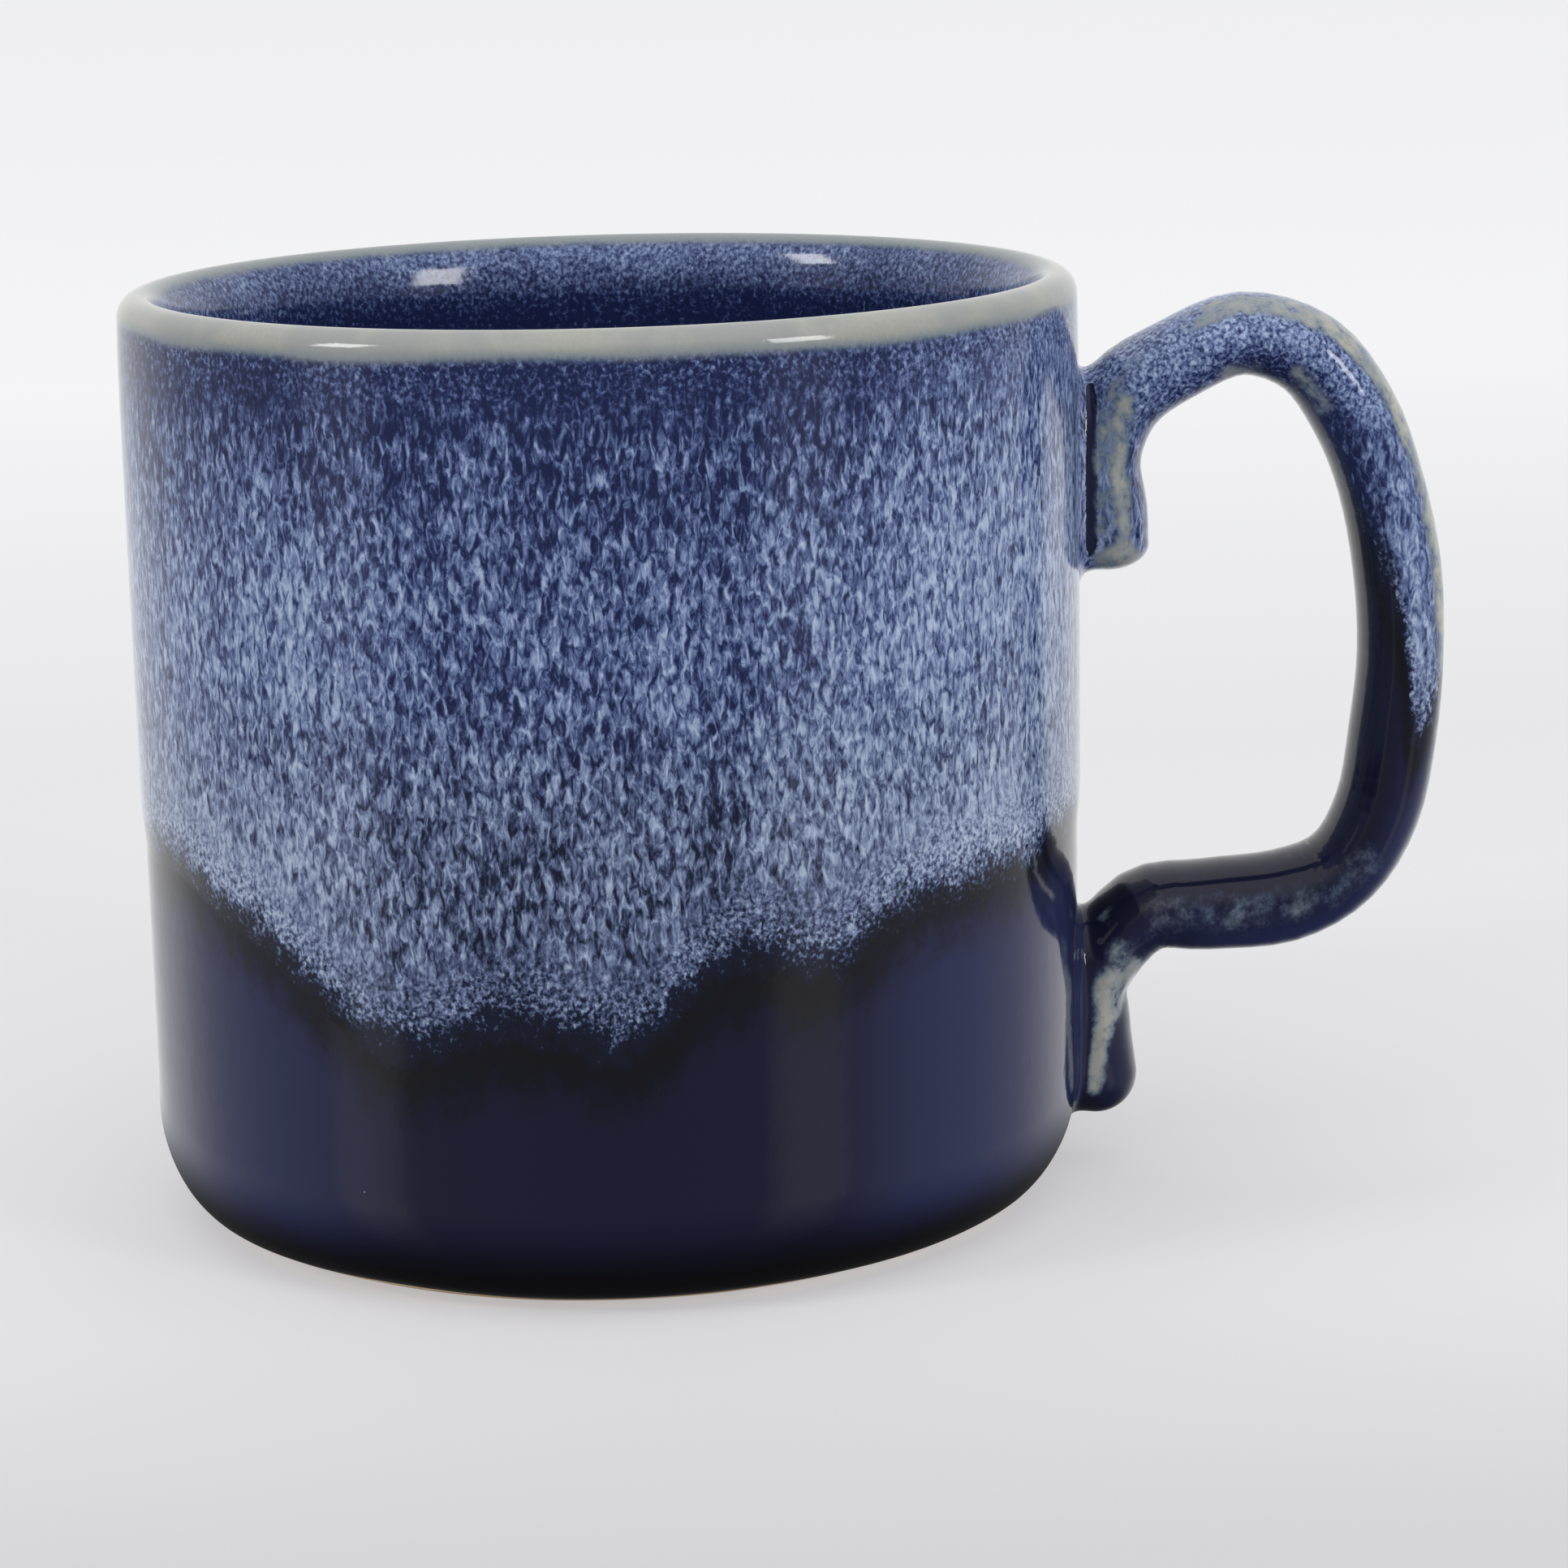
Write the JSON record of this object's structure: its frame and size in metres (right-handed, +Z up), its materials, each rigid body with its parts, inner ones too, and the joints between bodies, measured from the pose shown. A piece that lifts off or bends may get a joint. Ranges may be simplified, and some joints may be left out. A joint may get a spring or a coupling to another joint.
{
  "type": "ceramic mug",
  "caption": "Wheel-thrown stoneware mug with straight sides, a round lip and a pulled strap handle whose ends turn down the wall, glazed speckled blue over navy.",
  "frame": {"origin": "centre of the flat bare foot, on the surface the mug stands on", "axes": "+Z up along the cup's axis, +X from the axis towards the handle, which lies in the XZ plane"},
  "size_m": [0.1285, 0.092, 0.09],
  "materials": {
    "stoneware": "bare fired stoneware, matt and slightly gritty",
    "navy_glaze": "gloss, dark navy to near black",
    "speckled_glaze": "gloss, streaky pale blue flecks on navy, breaking to pale grey-green at edges",
    "liner_glaze": "gloss, mottled navy"
  },
  "bodies": {
    "root": {"cup_body": "stoneware", "handle_strap": "stoneware", "upper_joint_slip": "speckled_glaze", "lower_joint_slip": "navy_glaze", "liner_glaze": "liner_glaze", "base_glaze": "navy_glaze", "speckled_glaze": "speckled_glaze", "handle_base_glaze": "navy_glaze", "handle_speckled_glaze": "speckled_glaze"}
  },
  "joints": []
}
